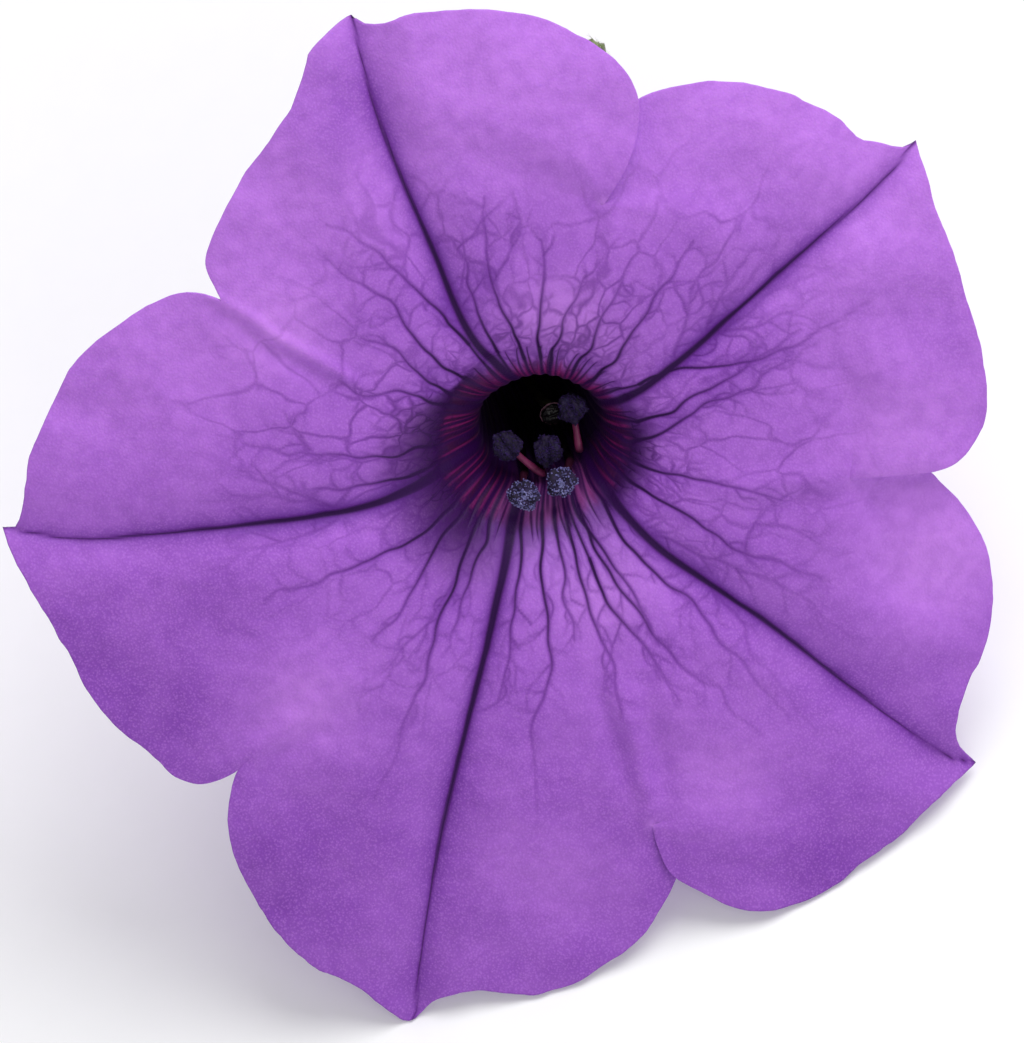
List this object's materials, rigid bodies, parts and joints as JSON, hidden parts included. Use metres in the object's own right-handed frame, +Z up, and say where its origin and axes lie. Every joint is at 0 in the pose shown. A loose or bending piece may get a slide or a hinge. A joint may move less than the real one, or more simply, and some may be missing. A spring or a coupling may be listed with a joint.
{
  "type": "petunia flower",
  "caption": "A trumpet-shaped violet petunia flower with an overlapping lobed face, a tapering tube, a green calyx and a cut stalk, lying on its lower lobes and stalk.",
  "frame": {"origin": "middle of the footprint, on the floor that the flower lies on", "axes": "+Z up; +Y from the face back towards the cut end of the stalk; +X across the face, to the right as the face is looked at"},
  "size_m": [0.0682, 0.074, 0.0541],
  "materials": {
    "petal": "satin",
    "stalk": "satin",
    "sepal": "matte",
    "filament": "satin",
    "anther": "matte",
    "nectary": "satin",
    "ovary": "satin",
    "style": "satin",
    "stigma": "gloss"
  },
  "bodies": {
    "root": {"corolla": "petal", "pedicel": "stalk", "sepal_1": "sepal", "sepal_2": "sepal", "sepal_3": "sepal", "sepal_4": "sepal", "sepal_5": "sepal", "filament_1": "filament", "filament_2": "filament", "filament_3": "filament", "filament_4": "filament", "filament_5": "filament", "anther_1": "anther", "anther_2": "anther", "anther_3": "anther", "anther_4": "anther", "anther_5": "anther", "nectary_disc": "nectary", "ovary": "ovary", "style": "style", "stigma": "stigma"}
  },
  "joints": []
}
